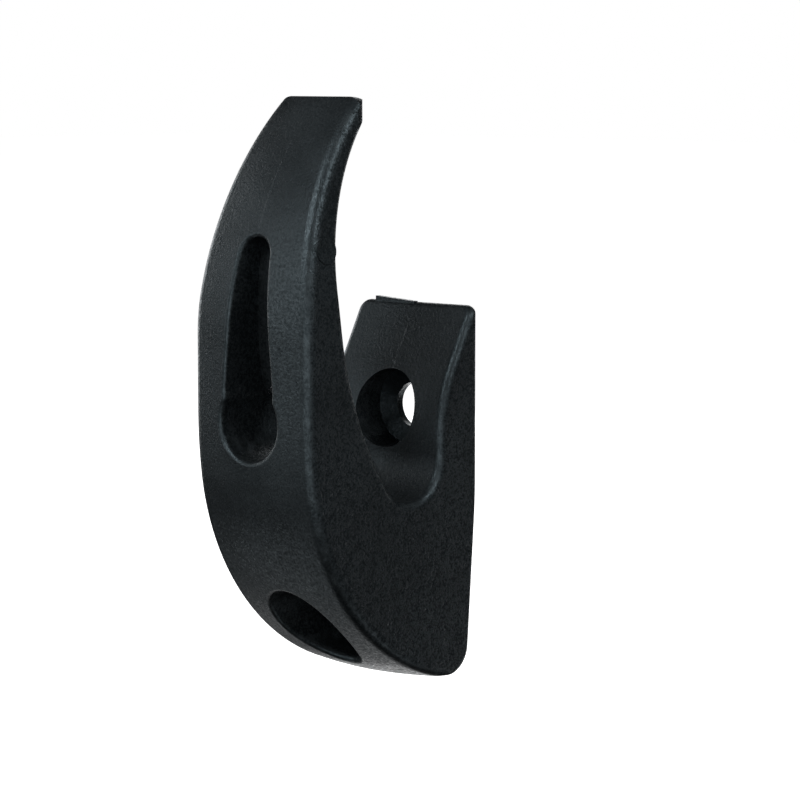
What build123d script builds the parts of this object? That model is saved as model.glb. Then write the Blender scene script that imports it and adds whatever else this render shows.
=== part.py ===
from build123d import *
from math import acos, atan2, cos, degrees, radians, sin, sqrt, tan
import os

# Screw-on moulded hook: one black plastic moulding, fastened with two M5 screws.
#
# Frame: millimetres, +Z up. The mounting face is the plane y = 0 and the horn stands out towards -Y. The
# origin is halfway between the two screw axes on the mounting face. The plane x = 0 is where the two halves
# of the mould meet, and apart from the gate and the ejector mark the moulding is the same on both sides of it.

# Overall sizes
body_width = 18.6
hook_depth = 30.1
tip_z = 50.2
plate_top_z = 25.05
base_z = -19.45

# Screw seats
screw_spacing = 25.0
screw_hole_radius = 2.75
head_seat_radius = 4.75
seat_wall = 1.0
seat_dish = 1.0
lower_seat_wall = 6.0

# Horn, seen from the side
horn_front_top_z = 22.35
horn_front_low_z = 13.3
tip_front_y = -17.75
tip_inner_y = -13.8
horn_inner_y = -23.65
horn_inner_z = 28.95
flank_radius = 42.0
throat_radius = 5.0
nose_radius = 1.5
nose_overlap = 0.02

# Horn, seen from the front
taper_start_z = 25.25
tip_width = 12.8
tip_corner_radius = 1.9
taper_blend = 2.4

# Rear corners of the nose, seen from above
nose_corner_x = 6.5
nose_corner_radius = 2.2
nose_corner_drop = 5.0

# The front face bulges slightly across the width.
crown_rise = 0.65
crown_depth = 2.0

# Mounting plate, seen from the side
plate_top_y = -0.7
plate_front_y = -6.65
plate_slope = 28.0
plate_bulge_radius = 19.2
plate_corner_radius = 1.6

# Belly, two arcs from the horn's front down to the heel
belly_upper_radius = 55.6
belly_upper_sweep = 8.0
belly_lower_radius = 30.6
belly_lower_sweep = 73.0

# Back of the heel, which leans forward below the mounting face
relief_z = 1.6
relief_lean = 4.3
relief_radius = 60.0
heel_radius = 3.6

# Edge rounding
front_edge_radius = 1.4
inner_edge_radius = 1.0
rear_edge_radius = 0.5

# Keyhole slot in the horn
slot_top_z = 34.05
slot_top_radius = 2.35
slot_neck_half_width = 3.8
slot_neck_z = 16.25
slot_neck_radius = 1.5
tool_hole_radius = 4.5
slot_back_wall = 1.7
mouth_radius = 0.45
mouth_depth = 2.0
steepest_rim = 25.0

# Gate vestige on the plate's top edge and the ejector pin's mark on the horn's side
gate_left_x = -6.6
gate_right_x = -0.3
gate_left_height = 0.5
gate_right_height = 0.1
gate_root = 0.5
gate_thickness = 0.7
ejector_y = -25.6
ejector_z = 32.75
ejector_radius = 1.6
ejector_height = 0.15

half_width = body_width / 2
front_y = -hook_depth
upper_z = screw_spacing / 2
lower_z = -screw_spacing / 2
rear_y = 6.0
margin = 6.0
tip_stock = 2.0
near = 0.01

# The horn's front is one arc from its upright stretch to the tip.
front_rise = tip_z - horn_front_top_z
front_run = tip_front_y - front_y
front_arc_radius = (front_run**2 + front_rise**2) / (2 * front_run)
front_arc_sweep = degrees(acos(1 - front_run / front_arc_radius))

# The horn's inner face is one arc as well, concave towards the wall.
inner_rise = tip_z - horn_inner_z
inner_run = tip_inner_y - horn_inner_y
inner_arc_radius = (inner_run**2 + inner_rise**2) / (2 * inner_run)
inner_centre_y = horn_inner_y + inner_arc_radius

# The nose's rounding touches the flat tip and runs just past the inner face.
nose_centre_z = tip_z - nose_radius
nose_reach = inner_arc_radius + nose_radius - nose_overlap
nose_centre_y = inner_centre_y - sqrt(nose_reach**2 - (nose_centre_z - horn_inner_z) ** 2)
nose_share = 1 - nose_radius / nose_reach
nose_rear_y = nose_centre_y + nose_radius + nose_overlap
nose_foot_y = inner_centre_y + (nose_centre_y - inner_centre_y) * nose_share
nose_foot_z = horn_inner_z + (nose_centre_z - horn_inner_z) * nose_share

# The flank arc runs down to the plate's front, where the corner is rounded into the throat.
flank_run = plate_front_y - horn_inner_y
flank_foot_z = horn_inner_z - sqrt(flank_radius**2 - (flank_radius - flank_run) ** 2)

# The plate's sloped front is tangent to its bulge, and the bulge to the upright below it.
slope = radians(plate_slope)
slope_foot_y = plate_front_y + plate_bulge_radius * (1 - cos(slope))
slope_foot_z = plate_top_z - (plate_top_y - slope_foot_y) / tan(slope)
bulge_foot_z = slope_foot_z - plate_bulge_radius * sin(slope)

# The sides close in towards the tip.
taper = atan2(half_width - tip_width / 2, tip_z - taper_start_z)
taper_reach = tip_z - taper_start_z + margin

os.makedirs("parts", exist_ok=True)


def front_line(inset):
    """Draw the horn's front and the belly from the side, moved inwards by inset. Return both ends."""
    face_y = front_y + inset
    Line((face_y, horn_front_low_z), (face_y, horn_front_top_z))
    brow = JernArc((face_y, horn_front_top_z), (0, 1), front_arc_radius - inset, -front_arc_sweep)
    brow_run = Line(brow @ 1, brow @ 1 + (brow % 1) * tip_stock)
    upper = JernArc((face_y, horn_front_low_z), (0, -1), belly_upper_radius - inset, belly_upper_sweep)
    lower = JernArc(upper @ 1, upper % 1, belly_lower_radius - inset, belly_lower_sweep)
    keel_run = (rear_y - (lower @ 1).X) / (lower % 1).X
    keel = Line(lower @ 1, lower @ 1 + (lower % 1) * keel_run)
    return brow_run @ 1, keel @ 1


def on_front_face(edge):
    """Tell whether an edge is part of the slot's rim on the horn's front face."""
    middle = edge.position_at(0.5)
    across = abs((edge % 0.5).Y) < cos(radians(steepest_rim))
    return across and abs(middle.X) < tool_hole_radius + near and middle.Y < floor_y - mouth_depth


# The envelope trims the bar: its back, its heel and the tapered horn with its cut-off tip.
heel_lean_y = -(relief_z - base_z) * tan(radians(relief_lean))
with BuildPart() as envelope:
    with BuildSketch(Plane.YZ) as back_view:
        with BuildLine():
            Polyline(
                (nose_foot_y, nose_foot_z),
                (0, nose_foot_z),
                (0, relief_z),
                (heel_lean_y, base_z),
                (front_y - margin, base_z),
                (front_y - margin, tip_z),
                (nose_centre_y, tip_z),
            )
            TangentArc((nose_centre_y, tip_z), (nose_foot_y, nose_foot_z), tangent=(1, 0))
        make_face()
        heel = back_view.vertices().sort_by_distance((heel_lean_y, base_z))[0]
        fillet(heel, heel_radius)
        bend = back_view.vertices().sort_by_distance((0, relief_z))[0]
        fillet(bend, relief_radius)
    extrude(amount=half_width, both=True)
    back_edges = envelope.edges().filter_by(Axis.Z).filter_by_position(Axis.Y, -near, near)
    fillet(back_edges, rear_edge_radius)
    with BuildSketch(Plane.XZ) as front_view:
        with BuildLine():
            Polyline(
                (-half_width, base_z - margin),
                (-half_width, taper_start_z),
                (-tip_width / 2, tip_z),
                (tip_width / 2, tip_z),
                (half_width, taper_start_z),
                (half_width, base_z - margin),
                close=True,
            )
        make_face()
        fillet(front_view.vertices().group_by(Axis.Z)[-1], tip_corner_radius)
    extrude(amount=hook_depth + 2 * margin, both=True, mode=Mode.INTERSECT)

# The slot's core: its outline from the front, and its blind end a wall's thickness short of the throat.
with BuildPart() as slot_core:
    with BuildSketch(Plane.XZ) as slot_view:
        with Locations((0, slot_top_z - slot_top_radius)):
            Circle(slot_top_radius)
        with Locations((0, slot_neck_z)):
            Circle(slot_neck_half_width)
        make_hull()
        with Locations((0, upper_z)):
            Circle(tool_hole_radius)
        necks = slot_view.vertices().filter_by_position(Axis.Y, upper_z, slot_neck_z)
        fillet(necks, slot_neck_radius)
    extrude(amount=hook_depth + margin)
    with BuildSketch(Plane.YZ) as slot_side:
        with BuildLine():
            floor_y = horn_inner_y - slot_back_wall
            upper_floor = TangentArc(
                (floor_y, horn_inner_z), (tip_inner_y - slot_back_wall, tip_z), tangent=(0, 1)
            )
            lower_floor = TangentArc(
                (floor_y, horn_inner_z), (plate_front_y - slot_back_wall, flank_foot_z), tangent=(0, -1)
            )
            Polyline(
                upper_floor @ 1,
                (front_y - margin, tip_z),
                (front_y - margin, flank_foot_z),
                lower_floor @ 1,
            )
        make_face()
    extrude(amount=half_width, both=True, mode=Mode.INTERSECT)

# The path that the crowned skin of the front follows, from behind the heel up to beyond the tip
with BuildLine() as front_path:
    front_line(0)
skin_path = Plane.YZ.from_local_coords(front_path.wires()[0])

with BuildPart() as hook_body:
    # Side view of the horn, throat and plate, with stock left above the tip and behind the mounting face
    with BuildSketch(Plane.YZ) as side_view:
        with BuildLine():
            brow_end, keel_end = front_line(crown_depth / 2)
            inner = TangentArc((horn_inner_y, horn_inner_z), (tip_inner_y, tip_z), tangent=(0, 1))
            inner_stock = Line(inner @ 1, inner @ 1 + (inner % 1) * tip_stock)
            Line(brow_end, inner_stock @ 1)
            TangentArc((horn_inner_y, horn_inner_z), (plate_front_y, flank_foot_z), tangent=(0, -1))
            Line((plate_front_y, flank_foot_z), (plate_front_y, bulge_foot_z))
            TangentArc((plate_front_y, bulge_foot_z), (slope_foot_y, slope_foot_z), tangent=(0, 1))
            Line((slope_foot_y, slope_foot_z), (plate_top_y, plate_top_z))
            Line((plate_top_y, plate_top_z), (rear_y, plate_top_z))
            Line(keel_end, (rear_y, plate_top_z))
        make_face()
        throat = side_view.vertices().sort_by_distance((plate_front_y, flank_foot_z))[0]
        fillet(throat, throat_radius)
    extrude(amount=half_width, both=True)
    # The crowned skin of the front is swept from the heel round the belly to the tip.
    skin_plane = Plane(origin=skin_path @ 0, x_dir=(-1, 0, 0), z_dir=skin_path % 0)
    with BuildSketch(skin_plane) as skin_view:
        with BuildLine():
            ThreePointArc((-half_width, -crown_rise), (0, 0), (half_width, -crown_rise))
            Polyline(
                (half_width, -crown_rise),
                (half_width, -crown_depth),
                (-half_width, -crown_depth),
                (-half_width, -crown_rise),
            )
        make_face()
    sweep(path=skin_path)
    # The horn narrows towards its tip on both sides; the plate behind it keeps its full width.
    with BuildSketch(Plane.XZ.offset(-tip_inner_y - margin)) as taper_view:
        with BuildLine():
            shoulder = TangentArc(
                (half_width, taper_start_z - taper_blend),
                (half_width - taper_blend * sin(taper), taper_start_z + taper_blend * cos(taper)),
                tangent=(0, 1),
            )
            Polyline(
                shoulder @ 1,
                (half_width - taper_reach * tan(taper), taper_start_z + taper_reach),
                (half_width + margin, taper_start_z + taper_reach),
                (half_width + margin, taper_start_z - taper_blend),
                shoulder @ 0,
            )
        make_face()
        mirror(about=Plane.YZ)
    extrude(amount=hook_depth, mode=Mode.SUBTRACT)
    # The plate's two top corners are rounded.
    with BuildSketch(Plane.XZ.offset(-plate_front_y)) as corner_view:
        with BuildLine():
            corner = RadiusArc(
                (half_width - plate_corner_radius, plate_top_z),
                (half_width, plate_top_z - plate_corner_radius),
                plate_corner_radius,
            )
            Line(corner @ 1, (half_width, plate_top_z))
            Line(corner @ 0, (half_width, plate_top_z))
        make_face()
        mirror(about=Plane.YZ)
    extrude(amount=plate_front_y - rear_y, mode=Mode.SUBTRACT)
    # Both long edges are rounded while the bar still runs past its tip and its back.
    edge_y = front_y + crown_rise
    uprights = hook_body.edges().filter_by(Axis.Z)
    front_edges = uprights.filter_by_position(Axis.Y, edge_y - near, edge_y + near)
    fillet(front_edges, front_edge_radius)
    uprights = hook_body.edges().filter_by(Axis.Z)
    inner_edges = uprights.filter_by_position(Axis.Y, plate_front_y - near, plate_front_y + near)
    fillet(inner_edges, inner_edge_radius)
    add(envelope.part, mode=Mode.INTERSECT)
    # Seen from above, the two rear corners of the nose are rounded.
    with BuildSketch(Plane.XY.offset(tip_z - nose_corner_drop)) as nose_view:
        with BuildLine():
            rear_corner = RadiusArc(
                (nose_corner_x - nose_corner_radius, nose_rear_y),
                (nose_corner_x, nose_rear_y - nose_corner_radius),
                nose_corner_radius,
            )
            Polyline(
                rear_corner @ 0,
                (nose_corner_x - nose_corner_radius, rear_y),
                (nose_corner_x + margin, rear_y),
                (nose_corner_x + margin, nose_rear_y - nose_corner_radius),
                rear_corner @ 1,
            )
        make_face()
        mirror(about=Plane.YZ)
    extrude(amount=2 * nose_corner_drop, mode=Mode.SUBTRACT)
    # Screw holes, head seats and the tool hole, all along Y
    with BuildSketch(Plane.XZ) as holes:
        with Locations((0, upper_z), (0, lower_z)):
            Circle(screw_hole_radius)
    extrude(amount=hook_depth, mode=Mode.SUBTRACT)
    with BuildSketch(Plane.XZ.offset(seat_wall)) as upper_seat:
        with Locations((0, upper_z)):
            Circle(screw_hole_radius)
    with BuildSketch(Plane.XZ.offset(seat_wall + seat_dish)) as upper_seat_rim:
        with Locations((0, upper_z)):
            Circle(head_seat_radius)
    loft(mode=Mode.SUBTRACT)
    extrude(upper_seat_rim.sketch, amount=2 * throat_radius, mode=Mode.SUBTRACT)
    with BuildSketch(Plane.XZ.offset(lower_seat_wall)) as lower_seat:
        with Locations((0, lower_z)):
            Circle(head_seat_radius)
    extrude(amount=hook_depth, mode=Mode.SUBTRACT)
    lower_rim = hook_body.edges(Select.LAST).sort_by(SortBy.LENGTH)[-1]
    fillet(lower_rim, mouth_radius)
    with BuildSketch(Plane.XZ.offset(3 * throat_radius)) as tool_hole:
        with Locations((0, upper_z)):
            Circle(tool_hole_radius)
    extrude(amount=hook_depth, mode=Mode.SUBTRACT)
    add(slot_core.part, mode=Mode.SUBTRACT)
    # The rims of the slot and of the lower head seat are eased.
    slot_rim = [edge for edge in hook_body.edges(Select.LAST) if on_front_face(edge)]
    fillet(slot_rim, mouth_radius)
    # Gate vestige: what is left of the gate on the plate's top edge, beside the parting line
    with BuildSketch(Plane.XZ) as gate_view:
        with BuildLine():
            Polyline(
                (gate_left_x, plate_top_z - gate_root),
                (gate_left_x, plate_top_z + gate_left_height),
                (gate_right_x, plate_top_z + gate_right_height),
                (gate_right_x, plate_top_z - gate_root),
                close=True,
            )
        make_face()
    extrude(amount=gate_thickness)
    # Ejector pin's mark: a low disc that reaches past the horn's rounded inner edge
    face_x = half_width - (ejector_z - taper_start_z) * tan(taper)
    with BuildSketch(
        Plane(origin=(face_x, ejector_y, ejector_z), x_dir=(0, 1, 0), z_dir=(cos(taper), 0, sin(taper)))
    ) as ejector_view:
        Circle(ejector_radius)
    extrude(amount=ejector_height)
    extrude(ejector_view.sketch, amount=-inner_edge_radius)

hook_body.part.label = "hook_body"
export_step(hook_body.part, "parts/hook_body.step")
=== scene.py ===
import math

import bpy
from mathutils import Matrix, Vector


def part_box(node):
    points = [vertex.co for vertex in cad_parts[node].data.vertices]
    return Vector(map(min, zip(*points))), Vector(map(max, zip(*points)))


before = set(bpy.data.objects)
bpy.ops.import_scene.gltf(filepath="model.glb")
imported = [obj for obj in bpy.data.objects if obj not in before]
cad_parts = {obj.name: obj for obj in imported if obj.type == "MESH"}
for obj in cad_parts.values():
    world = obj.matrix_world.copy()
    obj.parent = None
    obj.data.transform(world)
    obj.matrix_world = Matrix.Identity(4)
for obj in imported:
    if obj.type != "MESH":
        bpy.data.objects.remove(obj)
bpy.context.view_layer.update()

# Looks of the screw-on hook: one moulding in black glass-filled nylon, in soft studio light.
# All lengths are in metres and all angles in degrees.

MM = 0.001
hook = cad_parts["hook_body"]
box_low, box_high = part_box("hook_body")
box_size = box_high - box_low


# ---------------------------------------------------------------- places


def share_of_box(share):
    """The point at these shares of the hook's box."""
    return Vector(box_low[i] + box_size[i] * share[i] for i in range(3))


def direction(azimuth, elevation):
    """Unit vector towards that azimuth, counted from -Y towards +X, and elevation."""
    a = math.radians(azimuth)
    e = math.radians(elevation)
    return Vector((math.sin(a) * math.cos(e), -math.cos(a) * math.cos(e), math.sin(e)))


def look_at(obj, place, target):
    """Put an object at a place, with its -Z axis towards the target and its top upwards."""
    turn = (target - place).to_track_quat("-Z", "Y")
    obj.matrix_world = Matrix.Translation(place) @ turn.to_matrix().to_4x4()


def link(obj):
    """Put an object in the scene."""
    bpy.context.scene.collection.objects.link(obj)
    return obj


# ---------------------------------------------------------------- shader helpers


class Shader:
    """A node tree with short calls for the nodes that the materials use."""

    def __init__(self, tree):
        self.tree = tree
        self.tree.nodes.clear()

    def node(self, kind, **settings):
        made = self.tree.nodes.new("ShaderNode" + kind)
        for key, value in settings.items():
            setattr(made, key, value)
        return made

    def plug(self, value, socket):
        """Set a socket from a number, a colour or another node's output."""
        if isinstance(value, bpy.types.NodeSocket):
            self.tree.links.new(value, socket)
        else:
            socket.default_value = value

    def math(self, operation, *values):
        made = self.node("Math", operation=operation)
        for value, socket in zip(values, made.inputs):
            self.plug(value, socket)
        return made.outputs[0]

    def ramp(self, value, low, high, out_low=0.0, out_high=1.0):
        """Ease value from low..high to out_low..out_high."""
        made = self.node("MapRange", interpolation_type="SMOOTHSTEP")
        self.plug(value, made.inputs["Value"])
        self.plug(low, made.inputs["From Min"])
        self.plug(high, made.inputs["From Max"])
        self.plug(out_low, made.inputs["To Min"])
        self.plug(out_high, made.inputs["To Max"])
        return made.outputs["Result"]

    def noise(self, vector, cell, detail, roughness):
        """Noise between 0 and 1 with lumps of about that size."""
        made = self.node("TexNoise")
        self.plug(vector, made.inputs["Vector"])
        self.plug(1.0 / cell, made.inputs["Scale"])
        self.plug(detail, made.inputs["Detail"])
        self.plug(roughness, made.inputs["Roughness"])
        return made.outputs["Fac"]

    def mix(self, factor, a, b):
        """Mix two colours."""
        made = self.node("Mix", data_type="RGBA")
        self.plug(factor, made.inputs["Factor"])
        self.plug(a, made.inputs[MIX_COLOUR_A])
        self.plug(b, made.inputs[MIX_COLOUR_B])
        return made.outputs[MIX_COLOUR_RESULT]

    def bump(self, height, distance, strength=1.0, normal=None):
        """Raise the surface by height times distance, on top of another bump if one is given."""
        made = self.node("Bump")
        self.plug(height, made.inputs["Height"])
        self.plug(distance, made.inputs["Distance"])
        self.plug(strength, made.inputs["Strength"])
        if normal is not None:
            self.plug(normal, made.inputs["Normal"])
        return made.outputs["Normal"]


# The Mix node's sockets share their names between numbers, vectors and colours, so they go by place.
MIX_COLOUR_A = 6
MIX_COLOUR_B = 7
MIX_COLOUR_RESULT = 2


# ---------------------------------------------------------------- moulded nylon

NYLON_DARK = (0.0008, 0.0010, 0.0012, 1.0)
NYLON_LIGHT = (0.0290, 0.0345, 0.0375, 1.0)
# The colour of the long edges: partly real wear, partly a painted highlight on the rounded edges
NYLON_WORN_AND_HIGHLIT = (0.0300, 0.0360, 0.0390, 1.0)
NYLON_SHEEN = (0.70, 0.90, 1.0, 1.0)  # the reflections lean towards blue-grey
NYLON_IOR = 1.5
SATIN_ROUGHNESS = 0.40
GRAIN_ROUGHNESS = 0.52
ROUGHNESS_SPREAD = -0.9  # the pits are dark and dull, the lands between them light and smooth
FLOW_ROUGHNESS = 0.03
WEAR_AND_HIGHLIGHT_ROUGHNESS = -0.05

# How far the surface faces sideways, from 0 to 1, where the grained sides and the long edges begin and end
SIDE_STARTS = 0.80
SIDE_FULL = 0.98
EDGE_STARTS = 0.35
EDGE_FULL = 0.65
EDGE_FADES = 0.80
EDGE_ENDS = 0.97

# Noises: size of their lumps, detail and roughness
GRAIN = (0.45 * MM, 3.0, 0.65)  # spark-eroded grain on the sides
FINE = (0.30 * MM, 2.0, 0.6)  # fine tooth all over
FLOW = (11.0 * MM, 4.0, 0.55)  # cloudy flow of the filled plastic
STREAK = (0.45 * MM, 2.0, 0.6)  # polishing marks on the front
PATCH = (1.3 * MM, 3.0, 0.6)  # coarse patches, which also break up the wear and painted highlight along the edges
STREAK_LENGTH = 14  # the streaks run up the front and are this many times longer than wide

# How much of each noise the colour and the roughness take
GRAIN_ON_FRONT = 0.25
TOOTH_ON_FRONT = 0.8
TOOTH_ON_SIDES = 1.5
PATCH_SHARE = 0.6
FLOW_SHARE = 0.3
TONE_DARK = -0.22
TONE_LIGHT = 0.30
# Where the patch noise turns on the wear and painted highlight along the long edges
WEAR_AND_HIGHLIGHT_STARTS = 0.45
WEAR_AND_HIGHLIGHT_FULL = 0.65
FLOW_LOW = 0.35
FLOW_HIGH = 0.65

GRAIN_HEIGHT = 0.080 * MM
FINE_HEIGHT = 0.045 * MM
STREAK_HEIGHT = 0.022 * MM
SEAM_HALF_WIDTH = 0.06 * MM
SEAM_HEIGHT = 0.008 * MM


def moulded_nylon():
    """Black nylon: polished satin on the front, eroded grain on the sides, and worn along the long edges,
    where the lighter colour is also a painted highlight.
    """
    material = bpy.data.materials.new("moulded_nylon")
    material.use_nodes = True
    sh = Shader(material.node_tree)
    place = sh.node("TexCoord").outputs["Object"]
    across = sh.node("SeparateXYZ")
    sh.plug(place, across.inputs[0])
    facing = sh.node("SeparateXYZ")
    sh.plug(sh.node("NewGeometry").outputs["Normal"], facing.inputs[0])

    # The grained sides, and the long edges between them and the front
    sideways = sh.math("ABSOLUTE", facing.outputs["X"])
    side = sh.ramp(sideways, SIDE_STARTS, SIDE_FULL)
    past_front = sh.ramp(sideways, EDGE_STARTS, EDGE_FULL)
    before_side = sh.ramp(sideways, EDGE_FADES, EDGE_ENDS, 1.0, 0.0)
    edge = sh.math("MULTIPLY", past_front, before_side)

    # Noises over the surface
    squashed = sh.node("Mapping")
    sh.plug(place, squashed.inputs["Vector"])
    sh.plug((1.0, 1.0, 1.0 / STREAK_LENGTH), squashed.inputs["Scale"])
    grain = sh.noise(place, *GRAIN)
    fine = sh.noise(place, *FINE)
    flow = sh.noise(place, *FLOW)
    streak = sh.noise(squashed.outputs["Vector"], *STREAK)
    patch = sh.noise(place, *PATCH)

    # The grain shows fully on the sides and hardly at all on the polished front.
    grain_share = sh.ramp(side, 0.0, 1.0, GRAIN_ON_FRONT, 1.0)
    mottle = sh.math("MULTIPLY", sh.math("SUBTRACT", grain, 0.5), grain_share)
    tooth = sh.math("SUBTRACT", fine, 0.5)
    tooth_share = sh.ramp(side, 0.0, 1.0, TOOTH_ON_FRONT, TOOTH_ON_SIDES)
    patch_share = sh.math("MULTIPLY", grain_share, PATCH_SHARE)
    cloud = sh.math("MULTIPLY", sh.math("SUBTRACT", patch, 0.5), patch_share)
    speckle = sh.math("ADD", sh.math("MULTIPLY_ADD", tooth, tooth_share, cloud), mottle)

    # Colour: dark pits and lighter lands, cloudy with the flow, and lighter along the long edges, partly
    # real wear and partly a painted highlight
    tone = sh.math("MULTIPLY_ADD", sh.math("SUBTRACT", flow, 0.5), FLOW_SHARE, speckle)
    colour = sh.mix(sh.ramp(tone, TONE_DARK, TONE_LIGHT), NYLON_DARK, NYLON_LIGHT)
    # Painted highlight and wear: the rounded edges between front and sides get a lighter colour in patches
    wear_and_highlight = sh.math("MULTIPLY", edge, sh.ramp(patch, WEAR_AND_HIGHLIGHT_STARTS, WEAR_AND_HIGHLIGHT_FULL))
    colour = sh.mix(wear_and_highlight, colour, NYLON_WORN_AND_HIGHLIT)

    # Roughness
    rough = sh.ramp(side, 0.0, 1.0, SATIN_ROUGHNESS, GRAIN_ROUGHNESS)
    rough = sh.math("ADD", rough, sh.ramp(flow, FLOW_LOW, FLOW_HIGH, -FLOW_ROUGHNESS, FLOW_ROUGHNESS))
    rough = sh.math("MULTIPLY_ADD", speckle, ROUGHNESS_SPREAD, rough)
    rough = sh.math("ADD", rough, sh.math("MULTIPLY", wear_and_highlight, WEAR_AND_HIGHLIGHT_ROUGHNESS))

    # Relief, with a faint seam where the two halves of the mould meet
    off_seam = sh.math("ABSOLUTE", across.outputs["X"])
    seam = sh.ramp(off_seam, 0.0, SEAM_HALF_WIDTH, 1.0, 0.0)
    normal = sh.bump(fine, FINE_HEIGHT)
    normal = sh.bump(streak, STREAK_HEIGHT, sh.ramp(side, 0.0, 1.0, 1.0, 0.0), normal)
    normal = sh.bump(grain, GRAIN_HEIGHT, grain_share, normal)
    normal = sh.bump(seam, SEAM_HEIGHT, 1.0, normal)

    skin = sh.node("BsdfPrincipled")
    sh.plug(colour, skin.inputs["Base Color"])
    sh.plug(rough, skin.inputs["Roughness"])
    sh.plug(NYLON_IOR, skin.inputs["IOR"])
    sh.plug(NYLON_SHEEN, skin.inputs["Specular Tint"])
    sh.plug(normal, skin.inputs["Normal"])
    output = sh.node("OutputMaterial")
    sh.plug(skin.outputs[0], output.inputs["Surface"])
    return material


# ---------------------------------------------------------------- camera

# A long lens looks down on the hook a little, from the front and its right.
CAMERA_AZIMUTH = 42.0
CAMERA_ELEVATION = 6.0
CAMERA_DISTANCE = 385.5 * MM
CAMERA_LENS = 144.0
CAMERA_SENSOR = 36.0
CAMERA_CLIP_NEAR = 0.01
CAMERA_CLIP_FAR = 10.0
AIM_SHARE = Vector((0.6556, 0.774, 0.4761))  # where the camera aims, as shares of the hook's box


def make_camera():
    """The camera that frames the hook."""
    camera = bpy.data.cameras.new("camera")
    camera.sensor_width = CAMERA_SENSOR
    camera.lens = CAMERA_LENS
    camera.clip_start = CAMERA_CLIP_NEAR
    camera.clip_end = CAMERA_CLIP_FAR
    holder = link(bpy.data.objects.new("camera", camera))
    aim = share_of_box(AIM_SHARE)
    look_at(holder, aim + direction(CAMERA_AZIMUTH, CAMERA_ELEVATION) * CAMERA_DISTANCE, aim)
    bpy.context.scene.camera = holder


# ---------------------------------------------------------------- floor and background

WHITE = (1.0, 1.0, 1.0, 1.0)
PAPER = (0.9, 0.9, 0.9, 1.0)
PAPER_ROUGHNESS = 0.9
PAPER_GLOW = 1.0
FLOOR_GAP = 25 * MM  # the hook hangs this far above the floor
FLOOR_SIZE = 6.0
WORLD_LEVEL = 0.004


def make_floor():
    """A plain pale floor below the hook, which only the camera sees."""
    material = bpy.data.materials.new("pale_floor")
    material.use_nodes = True
    sh = Shader(material.node_tree)
    paper = sh.node("BsdfPrincipled")
    sh.plug(PAPER, paper.inputs["Base Color"])
    sh.plug(PAPER_ROUGHNESS, paper.inputs["Roughness"])
    sh.plug(WHITE, paper.inputs["Emission Color"])
    sh.plug(PAPER_GLOW, paper.inputs["Emission Strength"])
    sh.plug(paper.outputs[0], sh.node("OutputMaterial").inputs["Surface"])
    half = FLOOR_SIZE / 2
    z = box_low.z - FLOOR_GAP
    corners = [(-half, -half, z), (half, -half, z), (half, half, z), (-half, half, z)]
    mesh = bpy.data.meshes.new("floor")
    mesh.from_pydata(corners, [], [(0, 1, 2, 3)])
    mesh.materials.append(material)
    floor = link(bpy.data.objects.new("floor", mesh))
    floor.visible_glossy = False
    floor.visible_diffuse = False


def make_world():
    """White where the camera looks past the hook, and dim where the hook reflects the room."""
    world = bpy.data.worlds.new("studio")
    bpy.context.scene.world = world
    world.use_nodes = True
    sh = Shader(world.node_tree)
    seen = sh.node("Background")
    sh.plug(WHITE, seen.inputs["Color"])
    room = sh.node("Background")
    sh.plug(WHITE, room.inputs["Color"])
    sh.plug(WORLD_LEVEL, room.inputs["Strength"])
    either = sh.node("MixShader")
    sh.plug(sh.node("LightPath").outputs["Is Camera Ray"], either.inputs[0])
    sh.plug(room.outputs[0], either.inputs[1])
    sh.plug(seen.outputs[0], either.inputs[2])
    sh.plug(either.outputs[0], sh.node("OutputWorld").inputs["Surface"])


# ---------------------------------------------------------------- softboxes

SOFTBOX_SIZE = 280 * MM
SOFTBOX_DISTANCE = 500 * MM

# Power of each kind of softbox, in watts
KEY = 1.3
FILL = 0.9
RIM = 0.6
EDGE = 0.4
BOUNCE = 0.15

SOFTBOXES = (  # name, azimuth, elevation and power
    ("key_above", 0, 40, KEY),
    ("fill_right", 90, 40, FILL),
    ("fill_left", -90, 10, FILL),
    ("rim_back", 180, -20, RIM),
    ("rim_back_left", -150, -20, RIM),
    ("rim_high_left", -150, 20, RIM),
    ("edge_left", -30, 10, EDGE),
    ("edge_front", 25, -5, EDGE),
    ("edge_right", 55, -5, EDGE),
    ("bounce_back_left", -120, -50, BOUNCE),
    ("bounce_left", -60, -50, BOUNCE),
    ("bounce_right", 120, -50, BOUNCE),
)


def make_softbox(name, azimuth, elevation, power):
    """A square light that faces the middle of the hook."""
    light = bpy.data.lights.new(name, "AREA")
    light.shape = "SQUARE"
    light.size = SOFTBOX_SIZE
    light.energy = power
    lamp = link(bpy.data.objects.new(name, light))
    middle = share_of_box((0.5, 0.5, 0.5))
    look_at(lamp, middle + direction(azimuth, elevation) * SOFTBOX_DISTANCE, middle)


# ---------------------------------------------------------------- the scene

hook.data.materials.clear()
hook.data.materials.append(moulded_nylon())
make_camera()
make_floor()
make_world()
for name, azimuth, elevation, power in SOFTBOXES:
    make_softbox(name, azimuth, elevation, power)
bpy.context.scene.view_settings.view_transform = "Standard"
